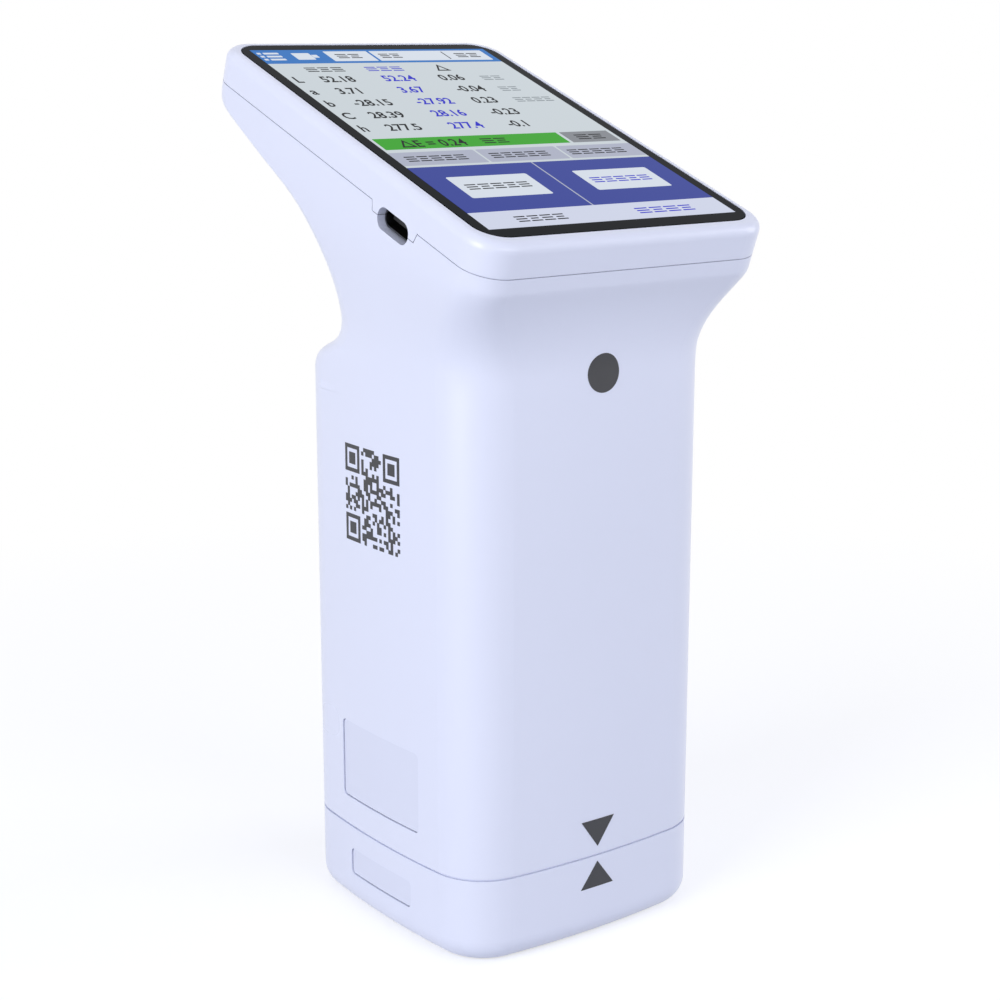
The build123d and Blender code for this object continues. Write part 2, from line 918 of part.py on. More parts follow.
def make_main_board():
    board = slab(board_width, board_length, board_middle, board_corner, board_top, board_bottom)
    for x, y in board_screw_places():
        board -= Pos(x, y) * rod(board_screw_shank / 2, -board_bottom - 1, -board_top + 1)
    return board


# Components on the underside of the main board: across, along, width, length, height
processor = (4.0, 44.0, 10.0, 10.0, 1.2)
memory = (-9.0, 46.0, 8.0, 6.0, 1.0)
charger = (-12.0, 34.0, 4.0, 4.0, 0.9)
battery_socket = (12.0, 30.0, 6.0, 5.0, 3.0)
sensor_socket = (-4.0, 31.0, 9.0, 3.5, 1.6)
beeper = (-12.0, 58.0, 9.0, 9.0, 3.2)


def on_board(x, along, width, length, height):
    return slab(width, length, along, 0.3, board_bottom, board_bottom + height).moved(
        Location((x, 0, 0))
    )


def make_components():
    return [on_board(*item) for item in (processor, memory, charger, battery_socket, sensor_socket)]


def make_receptacle():
    """Drawn metal shell of the USB-C inlet, open at its mouth."""
    mouth = head_side - receptacle_setback
    back = mouth - receptacle_length
    inner_width = receptacle_width - 2 * receptacle_metal
    inner_height = receptacle_height - 2 * receptacle_metal
    shell = port_slot(receptacle_width, receptacle_height, mouth, back)
    return shell - port_slot(inner_width, inner_height, mouth + 1, back - 1)


def make_receptacle_insert():
    """Moulded back of the inlet with the contact tongue that stands in its mouth."""
    mouth = head_side - receptacle_setback
    back = mouth - receptacle_length
    inner_width = receptacle_width - 2 * receptacle_metal
    inner_height = receptacle_height - 2 * receptacle_metal
    base = port_slot(inner_width, inner_height, back + insert_back, back)
    y, z = on_head(port_place, port_depth)
    front = mouth - insert_tongue_setback
    length = front - back
    tongue = Box(length, insert_tongue_width, insert_tongue_thickness)
    return base + Pos(-front + length / 2, y, z) * Rot(head_tilt, 0, 0) * tongue


# Body shell
def bracket(x, along):
    """Gusset inside the head's side wall that carries one corner of the main board."""
    side = math.copysign(1, x)
    inner = abs(x) - board_screw_head / 2 - bracket_margin
    outline = Polyline(
        (side * inner, -board_bottom),
        (side * head_side, -board_bottom),
        (side * head_side, -board_bottom - bracket_root),
        (side * inner, -board_bottom - bracket_lip),
        close=True,
    )
    plane = Plane(origin=(0, along + bracket_width / 2, 0), x_dir=(1, 0, 0), z_dir=(0, -1, 0))
    return head_plane * extrude(plane * make_face(outline), bracket_width)


def make_body_shell():
    """One-piece moulding: column, scoop with its ledge, flare and the tray of the head."""
    outer = skin_solid(0, base_height, cover_depth)
    shell = outer - skin_solid(wall, base_height - 1, 0)
    for x, along in board_screw_places():
        shell += bracket(x, along) & outer
        pilot = rod(board_screw_shank / 2, -board_screw_length, 0)
        shell -= head_plane * Pos(x, along, -board_top) * pilot
    for x, y in four_corners(post_place, post_place):
        shell += Pos(x, y) * rod(post_radius, plate_top, plate_top + plate_post_height)
        shell -= Pos(x, y, plate_bottom) * rod(plate_screw_shank / 2, 0, plate_screw_length)
    for x, z in tray_screw_places():
        shell += rod_along_y(tray_boss_radius, x, z, head_front, tray_front) & outer
        depth = board_screw_length - tray_wall
        shell -= rod_along_y(board_screw_shank / 2, x, z, tray_front - depth, tray_front)
    for x in key_post_places():
        shell += rod_along_y(key_post_radius, x, key_height, switch_back, column_back) & outer
        depth = board_screw_length - key_board_thickness
        shell -= rod_along_y(board_screw_shank / 2, x, key_height, switch_back, switch_back + depth)
    hole = key_diameter / 2 + key_gap
    shell -= rod_along_y(hole, 0, key_height, key_flange_outer, key_outer + 1)
    shell -= tab_block(tab_gap, head_side + 1, head_side - wall - 1)
    shell -= port_slot(port_width, port_height, head_side + 1, head_side - wall - 1)
    return shell - label_recess(*body_label)


sphere_lower, sphere_upper = make_sphere_halves()
flange_screw = pan_screw(flange_screw_length)
plate_screw_up = Rot(180, 0, 0) * plate_screw()

nodes = {
    "base_shell": make_base_shell(),
    "base_deck": make_base_deck(),
    "base_deck_screws": [
        Pos(x, y, deck_top) * plate_screw() for x, y in four_corners(post_place, post_place)
    ],
    "base_magnets": magnets(base_magnet_bottom),
    "base_label": label_plate(*base_label),
    "tile_holder": make_tile_holder(),
    "tile_cushion": rod(tile_diameter / 2, cushion_bottom, tile_bottom),
    "white_tile": make_white_tile(),
    "body_shell": make_body_shell(),
    "body_label": label_plate(*body_label),
    "end_plate": make_end_plate(),
    "end_plate_screws": [
        Pos(x, y, plate_bottom) * plate_screw_up for x, y in four_corners(post_place, post_place)
    ],
    "end_magnets": magnets(plate_magnet_bottom),
    "measuring_nose": make_nose(),
    "sphere_lower": sphere_lower,
    "sphere_upper": sphere_upper,
    "sphere_screws": [
        Pos(x, y, sphere_centre + flange_thickness) * flange_screw
        for x, y in flange_screw_places()
    ],
    "lamps": make_lamps(),
    "lamp_boards": make_lamp_boards(),
    "sensor_barrel": make_barrel(),
    "sensor_lens": make_lens(),
    "sensor_board": make_sensor_board(),
    "sensor_chip": make_sensor_chip(),
    "battery_tray": make_battery_tray(),
    "battery": make_battery(),
    "tray_screws": make_tray_screws(),
    "measure_key": make_key(),
    "key_plunger": make_plunger(),
    "key_switch": make_switch(),
    "key_board": make_key_board(),
    "key_screws": make_key_screws(),
    "head_cover": make_head_cover(),
    "touch_glass": head_plane * make_glass(),
    "glass_tape": head_plane * make_tape(),
    "display_panel": head_plane * make_panel(),
    "main_board": head_plane * make_main_board(),
    "board_components": [head_plane * item for item in make_components()],
    "radio_module": head_plane
    * slab(
        radio_width, radio_length, radio_place, 0.5, board_bottom, board_bottom + radio_height
    ),
    "beeper": head_plane * on_board(*beeper),
    "board_screws": [
        head_plane * Pos(x, along, -board_top) * pan_screw(board_screw_length)
        for x, along in board_screw_places()
    ],
    "usb_receptacle": make_receptacle(),
    "usb_insert": make_receptacle_insert(),
}

for name, shape in nodes.items():
    if isinstance(shape, list):
        shape = Compound(children=shape)
    export_step(shape, f"parts/{name}.step")
    print(name, round(shape.volume, 1), len(shape.solids()))
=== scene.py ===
import math

import bmesh
import bpy
import numpy as np
from mathutils import Matrix, Vector


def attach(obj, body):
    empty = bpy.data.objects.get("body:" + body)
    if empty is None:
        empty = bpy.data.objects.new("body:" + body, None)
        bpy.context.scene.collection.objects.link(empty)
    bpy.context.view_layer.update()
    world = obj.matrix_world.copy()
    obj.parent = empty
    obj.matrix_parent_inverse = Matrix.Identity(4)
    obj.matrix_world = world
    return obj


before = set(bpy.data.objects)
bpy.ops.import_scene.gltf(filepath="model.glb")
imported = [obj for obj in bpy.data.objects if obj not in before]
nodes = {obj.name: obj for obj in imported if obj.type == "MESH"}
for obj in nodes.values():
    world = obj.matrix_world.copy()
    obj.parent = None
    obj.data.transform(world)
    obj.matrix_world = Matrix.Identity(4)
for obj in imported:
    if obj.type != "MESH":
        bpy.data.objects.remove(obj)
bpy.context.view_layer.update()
MM = 0.001


# Camera
# A 71 mm view from the left of the front, at the height of the instrument's top, as a product
# picture is taken. It stands 0.36 m from the middle of the instrument.
camera_data = bpy.data.cameras.new("camera")
camera_data.lens = 71.2
camera_data.sensor_width = 36.0
camera_data.clip_start = 0.01
camera = bpy.data.objects.new("camera", camera_data)
camera_right = Vector((0.80183, -0.59755, 0.00049))
camera_up = Vector((0.13757, 0.18540, 0.97299))
camera_back = Vector((-0.58150, -0.78011, 0.23086))
camera_place = Vector((-211.46, -282.70, 159.86)) * MM
camera.matrix_world = Matrix(
    [
        [camera_right[i], camera_up[i], camera_back[i], camera_place[i]]
        for i in range(3)
    ]
    + [[0, 0, 0, 1]]
)
bpy.context.scene.collection.objects.link(camera)
bpy.context.scene.camera = camera
bpy.context.scene.view_settings.view_transform = "Standard"


# Floor, backdrop and lights
# A white sweep under four soft boxes: a large bright one on the left, one in front and one on the
# right with less than half its power each, and a weak one overhead. The floor and the world look
# white to the camera, and the floor still takes the soft shadow.
def linear(hex_colour):
    """Turns an sRGB hex value into linear red, green and blue, with an alpha of 1."""
    parts = [int(hex_colour[i : i + 2], 16) / 255 for i in (1, 3, 5)]
    curve = [c / 12.92 if c <= 0.04045 else ((c + 0.055) / 1.055) ** 2.4 for c in parts]
    return (*curve, 1.0)


def add(tree, kind, settings=(), **inputs):
    """Adds a node, sets its properties from settings and its sockets from values or links.

    A socket goes by its name with underscores, or by i and its number.
    """
    node = tree.nodes.new(kind)
    for name, value in dict(settings).items():
        setattr(node, name, value)
    for name, value in inputs.items():
        key = int(name[1:]) if name[0] == "i" and name[1:].isdigit() else name.replace("_", " ")
        if isinstance(value, bpy.types.NodeSocket):
            tree.links.new(value, node.inputs[key])
        else:
            node.inputs[key].default_value = value
    return node


def new_material(name):
    """Makes an empty node material and returns it with its tree and output node."""
    material = bpy.data.materials.new(name)
    material.use_nodes = True
    material.node_tree.nodes.clear()
    output = material.node_tree.nodes.new("ShaderNodeOutputMaterial")
    return material, material.node_tree, output


def background_rays(tree):
    """1 for a ray of the camera, of a reflection or through glass, which see the plain white."""
    path = add(tree, "ShaderNodeLightPath").outputs
    white = path["Is Camera Ray"]
    for kind in ("Is Transmission Ray", "Is Glossy Ray"):
        larger = add(tree, "ShaderNodeMath", {"operation": "MAXIMUM"}, i0=white, i1=path[kind])
        white = larger.outputs[0]
    return white


# In metres from the middle: the floor shows its shadow out to the first distance, fades, and is
# plain white from the second one on. Its glow lifts the lit floor to white.
FLOOR_SIZE = 3.0
SHADOW_TO = 0.10
WHITE_FROM = 0.30
FLOOR_GLOW = 0.58
white_sweep, tree, output = new_material("white_sweep")
diffuse = add(tree, "ShaderNodeBsdfDiffuse", Color=linear("#C4C6CC"))
glow = add(tree, "ShaderNodeEmission", Color=linear("#FFFFFF"), Strength=FLOOR_GLOW)
near_floor = add(tree, "ShaderNodeAddShader", i0=diffuse.outputs[0], i1=glow.outputs[0])
far_floor = add(tree, "ShaderNodeEmission", Color=linear("#FFFFFF"), Strength=1.0)
place = add(tree, "ShaderNodeTexCoord").outputs["Object"]
distance = add(tree, "ShaderNodeVectorMath", {"operation": "LENGTH"}, i0=place)
fade = add(
    tree,
    "ShaderNodeMapRange",
    Value=distance.outputs["Value"],
    From_Min=SHADOW_TO,
    From_Max=WHITE_FROM,
)
shown_floor = add(
    tree,
    "ShaderNodeMixShader",
    i0=fade.outputs[0],
    i1=near_floor.outputs[0],
    i2=far_floor.outputs[0],
)
surface = add(
    tree,
    "ShaderNodeMixShader",
    i0=background_rays(tree),
    i1=diffuse.outputs[0],
    i2=shown_floor.outputs[0],
)
tree.links.new(surface.outputs[0], output.inputs["Surface"])
half = FLOOR_SIZE / 2
floor_mesh = bpy.data.meshes.new("floor")
floor_mesh.from_pydata(
    [(-half, -half, 0), (half, -half, 0), (half, half, 0), (-half, half, 0)], [], [(0, 1, 2, 3)]
)
floor_mesh.materials.append(white_sweep)
floor = bpy.data.objects.new("floor", floor_mesh)
bpy.context.scene.collection.objects.link(floor)

world = bpy.data.worlds.new("studio")
bpy.context.scene.world = world
world.use_nodes = True
tree = world.node_tree
tree.nodes.clear()
ambient = add(tree, "ShaderNodeBackground", Color=linear("#F6F7FF"), Strength=0.40)
backdrop = add(tree, "ShaderNodeBackground", Color=linear("#FFFFFF"), Strength=1.0)
mixed = add(
    tree,
    "ShaderNodeMixShader",
    i0=background_rays(tree),
    i1=ambient.outputs[0],
    i2=backdrop.outputs[0],
)
add(tree, "ShaderNodeOutputWorld", Surface=mixed.outputs[0])


def soft_box(name, place, target, width, height, power):
    """Area light at a place, turned to face a target, in metres and watts."""
    light = bpy.data.lights.new(name, "AREA")
    light.shape = "RECTANGLE"
    light.size = width
    light.size_y = height
    light.energy = power
    lamp = bpy.data.objects.new(name, light)
    lamp.location = place
    lamp.rotation_euler = (Vector(target) - Vector(place)).to_track_quat("-Z", "Y").to_euler()
    bpy.context.scene.collection.objects.link(lamp)


middle = (0, 0, 0.08)
soft_box("left_box", (-0.90, -0.20, 0.26), middle, 0.5, 0.8, 6.9)
soft_box("front_box", (0.15, -1.00, 0.40), middle, 0.7, 0.5, 2.65)
soft_box("right_box", (0.85, -0.45, 0.35), middle, 0.4, 0.6, 2.9)
soft_box("top_box", (0.0, 0.3, 1.0), middle, 0.7, 0.7, 0.9)


# White shells
# The column, the frame of the head and the calibration base are injection-moulded ABS, white
# with a faint blue, from polished tools: smooth, with a soft gloss and no visible grain.
FLOW_SIZE = 35.0
FLOW_SHADE = 0.975
GAP_WIDTH = 0.5
GAP_SHUT = 0.15
GAP_OPEN = 0.45


def scaled(hex_colour, share):
    """Linear colour of an sRGB hex value, with its red, green and blue times a share."""
    return tuple(c * share for c in linear(hex_colour)[:3]) + (1.0,)


def moulded_plastic(name, colour, roughness, grain_mm=0.6, grain_depth=0.004, painted_seam_shade=1.0):
    """Moulded plastic: even colour, tool texture from fine noise, slight change of gloss.

    The melt's flow shades the colour down to FLOW_SHADE of itself, in patches of FLOW_SIZE. In
    gaps narrower than about GAP_WIDTH the colour carries painted shade: it falls to the share that
    the seam argument gives, as the open sky that a point sees goes down from GAP_OPEN to GAP_SHUT.
    """
    material, tree, output = new_material(name)
    place = add(tree, "ShaderNodeTexCoord").outputs["Object"]
    grain = add(tree, "ShaderNodeTexNoise", Vector=place, Scale=1 / (grain_mm * MM), Detail=3.0)
    flow = add(tree, "ShaderNodeTexNoise", Vector=place, Scale=1 / (FLOW_SIZE * MM), Detail=2.0)
    shade = add(
        tree,
        "ShaderNodeMix",
        {"data_type": "RGBA"},
        i0=flow.outputs["Fac"],
        i6=linear(colour),
        i7=scaled(colour, FLOW_SHADE),
    )
    # Painted shade: ambient occlusion darkens the colour in narrow seams and gaps.
    if painted_seam_shade < 1.0:
        sky = add(tree, "ShaderNodeAmbientOcclusion", {"samples": 16}, Distance=GAP_WIDTH * MM)
        painted_gap_shade = add(
            tree,
            "ShaderNodeMapRange",
            Value=sky.outputs["AO"],
            From_Min=GAP_SHUT,
            From_Max=GAP_OPEN,
            To_Min=painted_seam_shade,
            To_Max=1.0,
        )
        shade = add(
            tree,
            "ShaderNodeMix",
            {"data_type": "RGBA", "blend_type": "MULTIPLY"},
            i0=1.0,
            i6=shade.outputs[2],
            i7=painted_gap_shade.outputs[0],
        )
    gloss = add(
        tree,
        "ShaderNodeMapRange",
        Value=flow.outputs["Fac"],
        To_Min=roughness - 0.02,
        To_Max=roughness + 0.03,
    )
    bump = add(
        tree, "ShaderNodeBump", Height=grain.outputs["Fac"], Distance=grain_depth * MM, Strength=1.0
    )
    surface = add(
        tree,
        "ShaderNodeBsdfPrincipled",
        Base_Color=shade.outputs[2],
        Roughness=gloss.outputs[0],
        Normal=bump.outputs[0],
        IOR=1.5,
    )
    tree.links.new(surface.outputs[0], output.inputs["Surface"])
    return material


def dress(material, *names):
    """Gives CAD nodes a material in every slot."""
    for name in names:
        mesh = nodes[name].data
        mesh.materials.clear()
        mesh.materials.append(material)


# The shells get painted shade in their seams and gaps, down to 0.3 of their colour.
white_abs = moulded_plastic("white_abs_moulded", "#DFE4F9", 0.28, painted_seam_shade=0.3)
dress(white_abs, "body_shell", "head_cover", "base_shell")


# Touch glass
# Chemically toughened glass with a black border printed on its back and a coat against
# reflections, so it looks black and sharp-edged all round the picture.
WIPE_SIZE = 9.0


def polished(name, colour, roughness, ior, coat=0.0):
    """Smooth hard surface, with a trace of wiping marks, WIPE_SIZE wide, in its gloss."""
    material, tree, output = new_material(name)
    place = add(tree, "ShaderNodeTexCoord").outputs["Object"]
    wiped = add(tree, "ShaderNodeTexNoise", Vector=place, Scale=1 / (WIPE_SIZE * MM), Detail=4.0)
    gloss = add(
        tree,
        "ShaderNodeMapRange",
        Value=wiped.outputs["Fac"],
        To_Min=roughness,
        To_Max=roughness + 0.03,
    )
    surface = add(
        tree,
        "ShaderNodeBsdfPrincipled",
        Base_Color=linear(colour),
        Roughness=gloss.outputs[0],
        IOR=ior,
        Coat_Weight=coat,
    )
    tree.links.new(surface.outputs[0], output.inputs["Surface"])
    return material


border_glass = polished("glass_with_black_print", "#0B1016", 0.06, 1.07)
dress(border_glass, "touch_glass")


# Picture on the display
# The lit LCD picture: a table of colour values over a pass bar, grey keys and a blue panel with
# two white keys, all as thin films flush on the glass. Numbers are shown as numbers, and words as
# stacks of plain bars. Its sizes run from the middle of the head's front edge, up the slope.
HEAD_TILT = math.radians(20.0)
HEAD_LENGTH = 89.5
HEAD_FRONT = -37.2
OVERALL_HEIGHT = 158.0
HEAD_FRONT_HEIGHT = OVERALL_HEIGHT - HEAD_LENGTH * math.sin(HEAD_TILT)
PICTURE_SHIFT = Vector((-0.75, -0.85, 0))
tilt_turn = Matrix.Rotation(HEAD_TILT, 4, "X")
head_place = Matrix.Translation(Vector((0, HEAD_FRONT, HEAD_FRONT_HEIGHT)) * MM) @ tilt_turn
picture_place = head_place @ Matrix.Translation(PICTURE_SHIFT * MM)

# The cells of the display are finer than CELL_SIZE, which is as coarse as they need to show.
CELL_SIZE = 0.4
CELL_SHADE = 0.8
LCD_DARKNESS = 0.06
LCD_GLOW = 0.84


def lit_film(name, colour):
    """Backlit LCD colour: dark in itself, it gives off its own light under a smooth face."""
    material, tree, output = new_material(name)
    place = add(tree, "ShaderNodeTexCoord").outputs["Object"]
    cells = add(tree, "ShaderNodeTexNoise", Vector=place, Scale=1 / (CELL_SIZE * MM), Detail=1.0)
    shade = add(
        tree,
        "ShaderNodeMix",
        {"data_type": "RGBA"},
        i0=cells.outputs["Fac"],
        i6=scaled(colour, LCD_DARKNESS),
        i7=scaled(colour, LCD_DARKNESS * CELL_SHADE),
    )
    surface = add(
        tree,
        "ShaderNodeBsdfPrincipled",
        Base_Color=shade.outputs[2],
        Roughness=0.1,
        IOR=1.08,
        Emission_Color=linear(colour),
        Emission_Strength=LCD_GLOW,
    )
    tree.links.new(surface.outputs[0], output.inputs["Surface"])
    return material


def finish_piece(name, mesh, material, body):
    """Links a mesh as a piece that rides on a body and takes its finish from a slot."""
    mesh.materials.append(material)
    piece = bpy.data.objects.new(name, mesh)
    bpy.context.scene.collection.objects.link(piece)
    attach(piece, body)


FILM = 0.02
CORNER_POINTS = 5


def films(name, boxes, material):
    """Thin plates on the display, each on the level of FILM that its box names.

    A box is its left and right edge, its lower and upper edge up the slope, the radius of its
    corners and its level. Its outline is four quarter circles joined by straight sides, repeated
    at the foot and the face of the film.
    """
    boxes = np.array(boxes, float)
    x0, x1, s0, s1, radius, level = boxes.T
    turn = np.linspace(0, np.pi / 2, CORNER_POINTS)
    quarters = np.concatenate([turn + k * np.pi / 2 for k in range(4)])
    side_x = np.repeat([1, 0, 0, 1], CORNER_POINTS)
    side_s = np.repeat([1, 1, 0, 0], CORNER_POINTS)
    centre_x = np.where(side_x, (x1 - radius)[:, None], (x0 + radius)[:, None])
    centre_s = np.where(side_s, (s1 - radius)[:, None], (s0 + radius)[:, None])
    x = centre_x + radius[:, None] * np.cos(quarters)
    s = centre_s + radius[:, None] * np.sin(quarters)
    count = 4 * CORNER_POINTS
    top = np.repeat((level + 1)[:, None] * FILM, count, 1)
    face = np.stack([x, s, top], -1)
    foot = np.stack([x, s, np.zeros_like(top) - FILM], -1)
    points = np.concatenate([face, foot], 1).reshape(-1, 3) * MM
    start = np.arange(len(boxes))[:, None] * 2 * count
    ring = np.arange(count)
    after = (ring + 1) % count
    lids = (start + ring).tolist()
    floors = (start + count + ring[::-1]).tolist()
    sides = np.stack(
        [start + ring, start + count + ring, start + count + after, start + after], -1
    ).reshape(-1, 4)
    mesh = bpy.data.meshes.new(name)
    mesh.from_pydata(points.tolist(), [], lids + floors + sides.tolist())
    mesh.transform(picture_place)
    finish_piece(name, mesh, material, "instrument")


# A row is its lower and upper edge up the slope. SHARP is the radius of a corner that looks square.
PICTURE_LEFT = -25.65
PICTURE_RIGHT = 27.15
ACROSS = (PICTURE_LEFT, PICTURE_RIGHT)
STRIP_ROW = (6.9, 13.1)
PANEL_ROW = (13.1, 31.2)
TABLE_ROW = (31.2, 78.6)
BAR_ROW = (78.6, 85.5)
KEY_ROW = (32.0, 37.4)
PASS_ROW = (38.7, 43.4)
TAB_ROW = (79.6, 84.6)
MENU_LINES = (80.3, 81.8, 83.3)
MENU_LINE_HEIGHT = 0.8
SHARP = 0.05
table_grey = lit_film("lcd_table_grey", "#D2DBE1")
strip_white = lit_film("lcd_strip_white", "#D8DEF2")
bar_blue = lit_film("lcd_bar_blue", "#2E77C6")
pass_green = lit_film("lcd_pass_green", "#3BAA2B")
key_grey = lit_film("lcd_key_grey", "#B4B9CC")
box_grey = lit_film("lcd_box_grey", "#8B8F96")
panel_blue = lit_film("lcd_panel_blue", "#3B499F")
key_white = lit_film("lcd_key_white", "#DFE7F2")
ink_black = lit_film("lcd_ink_black", "#14161B")
ink_blue = lit_film("lcd_ink_blue", "#2323CC")
ink_grey = lit_film("lcd_ink_grey", "#8B949B")

films("picture_table", [(*ACROSS, *TABLE_ROW, SHARP, 0)], table_grey)
films("picture_strip", [(*ACROSS, *STRIP_ROW, SHARP, 0)], strip_white)
films("picture_bar", [(*ACROSS, *BAR_ROW, SHARP, 0)], bar_blue)
films("picture_pass", [(-25.05, 14.5, *PASS_ROW, SHARP, 1)], pass_green)
films("picture_grey_box", [(15.3, 26.3, *PASS_ROW, 0.1, 1)], box_grey)
films(
    "picture_grey_keys",
    [
        (PICTURE_LEFT, -8.1, *KEY_ROW, 0.3, 1),
        (-7.6, 9.6, *KEY_ROW, 0.3, 1),
        (10.1, PICTURE_RIGHT, *KEY_ROW, 0.3, 1),
    ],
    key_grey,
)
films("picture_panel", [(*ACROSS, *PANEL_ROW, SHARP, 0)], panel_blue)
films(
    "picture_white_keys",
    [
        (-20.9, -4.2, 18.4, 26.8, 0.4, 1),
        (5.8, 22.4, 18.7, 26.8, 0.4, 1),
        (-10.6, -1.0, *TAB_ROW, 0.2, 1),
        (-0.4, 25.8, *TAB_ROW, 0.2, 1),
        (-18.0, -14.2, 80.5, 83.8, 0.2, 1),
        (-14.1, -12.9, 81.5, 82.9, 0.1, 1),
    ]
    + [
        (left, right, s, s + MENU_LINE_HEIGHT, 0.1, 1)
        for left, right in ((-25.1, -24.3), (-23.8, -20.6))
        for s in MENU_LINES
    ],
    key_white,
)
films("picture_divider", [(0.05, 0.35, *PANEL_ROW, SHARP, 1)], key_grey)

BAR_SHARE = 0.84
BAR_HALF_HEIGHT = 0.17
BAR_STEP = 0.85
BAR_INSET = 0.12


def word_bars(x0, x1, s, count, level):
    """Plain bars in place of a word: count stacks of three, from x0 to x1, round the line s.

    A bar is BAR_SHARE of its stack's pitch long, and lies BAR_STEP above the one below it. In
    every second stack the middle bar is shorter by BAR_INSET at each end.
    """
    pitch = (x1 - x0) / count
    return [
        (
            x0 + (k + inset) * pitch,
            x0 + (k + BAR_SHARE - inset) * pitch,
            s + up - BAR_HALF_HEIGHT,
            s + up + BAR_HALF_HEIGHT,
            SHARP,
            level,
        )
        for k in range(count)
        for up, inset in ((BAR_STEP, 0.0), (0.0, BAR_INSET * (k % 2)), (-BAR_STEP, 0.0))
    ]


films(
    "picture_words_dark",
    word_bars(-8.9, -3.2, 82.1, 2, 2)
    + word_bars(0.8, 5.8, 82.1, 2, 2)
    + word_bars(18.4, 24.3, 82.1, 2, 2)
    + [(15.9, 16.15, 80.2, 84.0, SHARP, 2)]
    + word_bars(-19.4, -11.0, 75.5, 3, 1)
    + word_bars(-3.6, 2.3, 40.9, 2, 2)
    + word_bars(-23.6, -10.9, 34.6, 5, 2)
    + word_bars(-6.0, 6.8, 34.6, 5, 2)
    + word_bars(11.2, 24.2, 34.6, 5, 2)
    + word_bars(-19.3, -5.9, 22.6, 5, 2)
    + word_bars(-18.2, -7.7, 9.8, 4, 1)
    + word_bars(17.6, 24.4, 41.0, 2, 2),
    ink_black,
)
films(
    "picture_words_blue",
    word_bars(-6.4, 2.0, 75.5, 3, 1)
    + word_bars(7.3, 20.7, 22.7, 5, 2)
    + word_bars(7.3, 20.2, 9.9, 4, 1),
    ink_blue,
)
films(
    "picture_words_grey",
    word_bars(16.5, 21.6, 70.2, 2, 1)
    + word_bars(16.9, 21.6, 64.6, 2, 1)
    + word_bars(16.6, 25.6, 59.2, 4, 1),
    ink_grey,
)

DIGIT_SIZE = 3.9
DIGIT_WIDTH = 0.82
DIGIT_WEIGHT = 0.065
DIGIT_LEVEL = 1


def words(name, entries, material):
    """Generic letters and numbers on the display, as one thin mesh.

    Each entry is the text, the x of its left end, and its line up the slope. Letters are
    DIGIT_WIDTH of their usual width, and DIGIT_WEIGHT fatter all round.
    """
    points = []
    faces = []
    narrow = Matrix.Diagonal((DIGIT_WIDTH, 1.0, 1.0, 1.0))
    for text, x, s in entries:
        curve = bpy.data.curves.new(name, "FONT")
        curve.body = text
        curve.size = DIGIT_SIZE * MM
        curve.extrude = FILM / 2 * MM
        curve.offset = DIGIT_WEIGHT * MM
        curve.resolution_u = 3
        holder = bpy.data.objects.new(name, curve)
        bpy.context.scene.collection.objects.link(holder)
        mesh = bpy.data.meshes.new_from_object(holder)
        bpy.data.objects.remove(holder)
        height = (DIGIT_LEVEL + 1) * FILM
        mesh.transform(Matrix.Translation(Vector((x, s, height)) * MM) @ narrow)
        flat = np.zeros(len(mesh.vertices) * 3)
        mesh.vertices.foreach_get("co", flat)
        faces += [[v + len(points) for v in polygon.vertices] for polygon in mesh.polygons]
        points += flat.reshape(-1, 3).tolist()
        bpy.data.meshes.remove(mesh)
    mesh = bpy.data.meshes.new(name)
    mesh.from_pydata(points, [], faces)
    mesh.transform(picture_place)
    finish_piece(name, mesh, material, "instrument")


LINE_TOP = 69.35
LINE_PITCH = 5.66
lines = [LINE_TOP - k * LINE_PITCH for k in range(5)]
first_colour = ["52.18", "3.71", "-28.15", "28.39", "277.5"]
second_colour = ["52.24", "3.67", "-27.92", "28.16", "277.4"]
difference = ["0.06", "-0.04", "0.23", "-0.23", "-0.1"]
black = [(text, -24.7, s) for text, s in zip("LabCh", lines)]
black += [(text, -19.1, s) for text, s in zip(first_colour, lines)]
black += [(text, 6.9, s) for text, s in zip(difference, lines)]
black += [("△", 8.9, 74.2), ("△E = 0.24", -21.2, 39.5)]
blue = [(text, -5.8, s) for text, s in zip(second_colour, lines)]
words("picture_digits_black", black, ink_black)
words("picture_digits_blue", blue, ink_blue)


# Printed marks
# Pad-printed dark grey ink: two alignment triangles over and under the seam, a round mark above
# them, and a square code block of its own pattern on the left side. The ink follows the crown of
# the column, whose front and side are arcs, and the front's flare, which is an arc as well.
INK_PROUD = 0.05
INK_SUNK = 0.3
COLUMN_FRONT = -28.3
COLUMN_SIDE = -28.4
FRONT_RADIUS = 168.25
SIDE_RADIUS = 181.6
FLARE_START = 103.8
FLARE_RADIUS = 22.5
pad_ink = moulded_plastic("pad_printed_ink", "#313238", 0.45, grain_mm=0.3)


def front_surface(x, z):
    """Place along Y of the column's front: an arc across, and a second arc up the flare."""
    across = FRONT_RADIUS - np.sqrt(FRONT_RADIUS**2 - x**2)
    above = np.maximum(z - FLARE_START, 0)
    out = FLARE_RADIUS - np.sqrt(FLARE_RADIUS**2 - above**2)
    return COLUMN_FRONT + across - out


def front_print(name, x, z):
    """Closed film on the front, from rings of points that shrink to the middle of the print.

    x and z hold one row per ring, from the middle outwards. The face follows the column's
    surface a little proud of it, and the same rings, sunk, make its back.
    """
    face = np.stack([x, front_surface(x, z) - INK_PROUD, z], -1)
    back = face + np.array([0, INK_PROUD + INK_SUNK, 0])
    grid = np.concatenate([face, back[::-1]])
    rows, columns = grid.shape[:2]
    row = np.arange(rows - 1)[:, None] * columns
    column = np.arange(columns)[None, :]
    after = (column + 1) % columns
    quads = np.stack(
        [row + column, row + after, row + columns + after, row + columns + column], -1
    ).reshape(-1, 4)
    mesh = bpy.data.meshes.new(name)
    mesh.from_pydata((grid.reshape(-1, 3) * MM).tolist(), [], quads.tolist())
    return mesh


